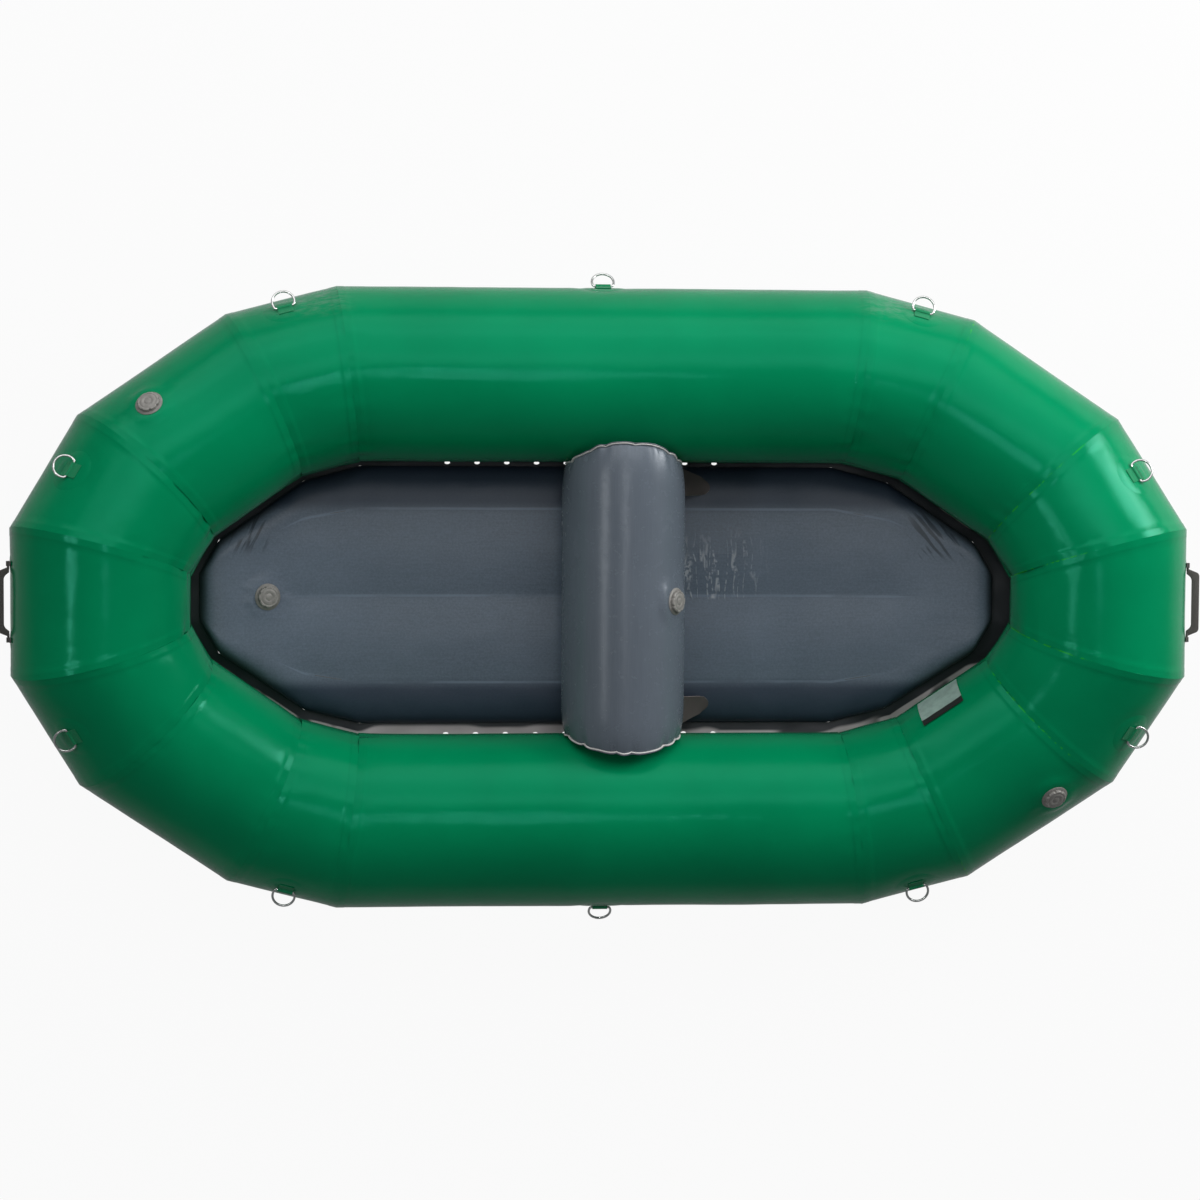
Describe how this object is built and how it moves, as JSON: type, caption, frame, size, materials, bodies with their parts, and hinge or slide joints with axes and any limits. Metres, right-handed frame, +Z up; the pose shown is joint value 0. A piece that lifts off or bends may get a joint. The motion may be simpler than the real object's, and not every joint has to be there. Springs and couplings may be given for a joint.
{
  "type": "self-bailing raft",
  "caption": "Small inflatable river raft with mitred, upturned tubes, a drained floor, a cross thwart, lashing rings, carry handles and capped valves.",
  "frame": {"origin": "centre of the hull on the ground it stands on", "axes": "+X to the bow, +Y to port, +Z up"},
  "size_m": [2.9914, 1.6428, 0.5774],
  "materials": {
    "tube_fabric": "satin coated fabric, bright green",
    "floor_fabric": "satin coated fabric, blue grey",
    "thwart_fabric": "satin coated fabric, blue grey",
    "skirt_fabric": "matt coated fabric, light warm grey",
    "inner_fabric": "bare inner fabric",
    "tab_fabric": "dark stiff fabric",
    "webbing": "dark webbing",
    "valve_plastic": "grey moulding",
    "cap_plastic": "grey moulding with rim notches",
    "gasket_rubber": "black seal",
    "stainless_steel": "polished wire"
  },
  "bodies": {
    "hull": {"bow_port_shoulder": "tube_fabric", "bow_port_quarter": "tube_fabric", "bow_port_cheek": "tube_fabric", "bow_panel": "tube_fabric", "bow_starboard_cheek": "tube_fabric", "bow_starboard_quarter": "tube_fabric", "bow_starboard_shoulder": "tube_fabric", "starboard_side_panel": "tube_fabric", "stern_starboard_shoulder": "tube_fabric", "stern_starboard_quarter": "tube_fabric", "stern_starboard_cheek": "tube_fabric", "stern_panel": "tube_fabric", "stern_port_cheek": "tube_fabric", "stern_port_quarter": "tube_fabric", "stern_port_shoulder": "tube_fabric", "port_side_panel": "tube_fabric", "port_baffle": "inner_fabric", "starboard_baffle": "inner_fabric", "floor_top": "floor_fabric", "floor_bottom": "skirt_fabric", "floor_beam_port": "inner_fabric", "floor_beam_centre": "inner_fabric", "floor_beam_starboard": "inner_fabric", "thwart_port_end": "thwart_fabric", "thwart_port_tab": "tab_fabric", "thwart_starboard_end": "thwart_fabric", "thwart_starboard_tab": "tab_fabric", "thwart_wall": "thwart_fabric", "stern_valve_body": "valve_plastic", "stern_valve_spring": "stainless_steel", "bow_valve_body": "valve_plastic", "bow_valve_spring": "stainless_steel", "thwart_valve_body": "valve_plastic", "thwart_valve_spring": "stainless_steel", "floor_valve_body": "valve_plastic", "floor_valve_spring": "stainless_steel"},
    "port_centre_ring": {"port_centre_ring": "stainless_steel"},
    "bow_port_shoulder_ring": {"bow_port_shoulder_ring": "stainless_steel"},
    "bow_port_cheek_ring": {"bow_port_cheek_ring": "stainless_steel"},
    "bow_starboard_cheek_ring": {"bow_starboard_cheek_ring": "stainless_steel"},
    "bow_starboard_shoulder_ring": {"bow_starboard_shoulder_ring": "stainless_steel"},
    "starboard_centre_ring": {"starboard_centre_ring": "stainless_steel"},
    "stern_starboard_shoulder_ring": {"stern_starboard_shoulder_ring": "stainless_steel"},
    "stern_starboard_cheek_ring": {"stern_starboard_cheek_ring": "stainless_steel"},
    "stern_port_cheek_ring": {"stern_port_cheek_ring": "stainless_steel"},
    "stern_port_shoulder_ring": {"stern_port_shoulder_ring": "stainless_steel"},
    "bow_handle": {"bow_handle": "webbing"},
    "stern_handle": {"stern_handle": "webbing"},
    "stern_valve_gasket": {"stern_valve_gasket": "gasket_rubber"},
    "stern_valve_cap": {"stern_valve_cap": "cap_plastic"},
    "stern_valve_poppet": {"stern_valve_poppet": "valve_plastic"},
    "bow_valve_gasket": {"bow_valve_gasket": "gasket_rubber"},
    "bow_valve_cap": {"bow_valve_cap": "cap_plastic"},
    "bow_valve_poppet": {"bow_valve_poppet": "valve_plastic"},
    "thwart_valve_gasket": {"thwart_valve_gasket": "gasket_rubber"},
    "thwart_valve_cap": {"thwart_valve_cap": "cap_plastic"},
    "thwart_valve_poppet": {"thwart_valve_poppet": "valve_plastic"},
    "floor_valve_gasket": {"floor_valve_gasket": "gasket_rubber"},
    "floor_valve_cap": {"floor_valve_cap": "cap_plastic"},
    "floor_valve_poppet": {"floor_valve_poppet": "valve_plastic"}
  },
  "joints": [
    {"name": "port_centre_ring_swing", "type": "hinge", "parent": "hull", "child": "port_centre_ring", "pos_m": [0, 0.78731, 0.23035], "axis": [1, 0, 0], "range_deg": [-44, 130]},
    {"name": "bow_port_shoulder_ring_swing", "type": "hinge", "parent": "hull", "child": "bow_port_shoulder_ring", "pos_m": [0.7954, 0.72496, 0.33484], "axis": [0.9632, -0.2599, 0.0686], "range_deg": [-35, 139]},
    {"name": "bow_port_cheek_ring_swing", "type": "hinge", "parent": "hull", "child": "bow_port_cheek_ring", "pos_m": [1.30782, 0.32519, 0.48402], "axis": [0.4735, -0.8369, 0.2747], "range_deg": [-32, 142]},
    {"name": "bow_starboard_cheek_ring_swing", "type": "hinge", "parent": "hull", "child": "bow_starboard_cheek_ring", "pos_m": [1.30782, -0.32519, 0.48402], "axis": [-0.4735, -0.8369, -0.2747], "range_deg": [-32, 142]},
    {"name": "bow_starboard_shoulder_ring_swing", "type": "hinge", "parent": "hull", "child": "bow_starboard_shoulder_ring", "pos_m": [0.7954, -0.72496, 0.33484], "axis": [-0.9632, -0.2599, -0.0686], "range_deg": [-35, 139]},
    {"name": "starboard_centre_ring_swing", "type": "hinge", "parent": "hull", "child": "starboard_centre_ring", "pos_m": [0, -0.78731, 0.23035], "axis": [-1, 0, 0], "range_deg": [-44, 130]},
    {"name": "stern_starboard_shoulder_ring_swing", "type": "hinge", "parent": "hull", "child": "stern_starboard_shoulder_ring", "pos_m": [-0.7954, -0.72496, 0.33484], "axis": [-0.9632, 0.2599, 0.0686], "range_deg": [-35, 139]},
    {"name": "stern_starboard_cheek_ring_swing", "type": "hinge", "parent": "hull", "child": "stern_starboard_cheek_ring", "pos_m": [-1.30782, -0.32519, 0.48402], "axis": [-0.4735, 0.8369, 0.2747], "range_deg": [-32, 142]},
    {"name": "stern_port_cheek_ring_swing", "type": "hinge", "parent": "hull", "child": "stern_port_cheek_ring", "pos_m": [-1.30782, 0.32519, 0.48402], "axis": [0.4735, 0.8369, -0.2747], "range_deg": [-32, 142]},
    {"name": "stern_port_shoulder_ring_swing", "type": "hinge", "parent": "hull", "child": "stern_port_shoulder_ring", "pos_m": [-0.7954, 0.72496, 0.33484], "axis": [0.9632, 0.2599, -0.0686], "range_deg": [-35, 139]},
    {"name": "bow_handle_swing", "type": "hinge", "parent": "hull", "child": "bow_handle", "pos_m": [1.46574, 0, 0.39754], "axis": [0, -1, 0], "range_deg": [-75, 95]},
    {"name": "stern_handle_swing", "type": "hinge", "parent": "hull", "child": "stern_handle", "pos_m": [-1.46574, 0, 0.39754], "axis": [0, 1, 0], "range_deg": [-75, 95]},
    {"name": "stern_valve_cap_lift", "type": "slide", "parent": "hull", "child": "stern_valve_gasket", "axis": [-0.2376, 0.5855, 0.7751], "range_m": [0, 0.03]},
    {"name": "stern_valve_cap_turn", "type": "hinge", "parent": "stern_valve_gasket", "child": "stern_valve_cap", "pos_m": [-1.12005, 0.48446, 0.45316], "axis": [-0.2376, 0.5855, 0.7751], "range_deg": [0, 90]},
    {"name": "stern_valve_poppet_press", "type": "slide", "parent": "hull", "child": "stern_valve_poppet", "axis": [0.2376, -0.5855, -0.7751], "range_m": [0, 0.008], "stiffness_N_per_m": 300, "springref_m": -0.006, "deforming": ["stern_valve_spring"]},
    {"name": "bow_valve_cap_lift", "type": "slide", "parent": "hull", "child": "bow_valve_gasket", "axis": [0.2376, -0.5855, 0.7751], "range_m": [0, 0.03]},
    {"name": "bow_valve_cap_turn", "type": "hinge", "parent": "bow_valve_gasket", "child": "bow_valve_cap", "pos_m": [1.12005, -0.48446, 0.45316], "axis": [0.2376, -0.5855, 0.7751], "range_deg": [0, 90]},
    {"name": "bow_valve_poppet_press", "type": "slide", "parent": "hull", "child": "bow_valve_poppet", "axis": [-0.2376, 0.5855, -0.7751], "range_m": [0, 0.008], "stiffness_N_per_m": 300, "springref_m": -0.006, "deforming": ["bow_valve_spring"]},
    {"name": "thwart_valve_cap_lift", "type": "slide", "parent": "hull", "child": "thwart_valve_gasket", "axis": [0.788, 0, 0.6157], "range_m": [0, 0.03]},
    {"name": "thwart_valve_cap_turn", "type": "hinge", "parent": "thwart_valve_gasket", "child": "thwart_valve_cap", "pos_m": [0.17572, 0, 0.36166], "axis": [0.788, 0, 0.6157], "range_deg": [0, 90]},
    {"name": "thwart_valve_poppet_press", "type": "slide", "parent": "hull", "child": "thwart_valve_poppet", "axis": [-0.788, 0, -0.6157], "range_m": [0, 0.008], "stiffness_N_per_m": 300, "springref_m": -0.006, "deforming": ["thwart_valve_spring"]},
    {"name": "floor_valve_cap_lift", "type": "slide", "parent": "hull", "child": "floor_valve_gasket", "axis": [0.3728, 0, 0.9279], "range_m": [0, 0.03]},
    {"name": "floor_valve_cap_turn", "type": "hinge", "parent": "floor_valve_gasket", "child": "floor_valve_cap", "pos_m": [-0.84225, 0, 0.17026], "axis": [0.3728, 0, 0.9279], "range_deg": [0, 90]},
    {"name": "floor_valve_poppet_press", "type": "slide", "parent": "hull", "child": "floor_valve_poppet", "axis": [-0.3728, 0, -0.9279], "range_m": [0, 0.008], "stiffness_N_per_m": 300, "springref_m": -0.006, "deforming": ["floor_valve_spring"]}
  ]
}
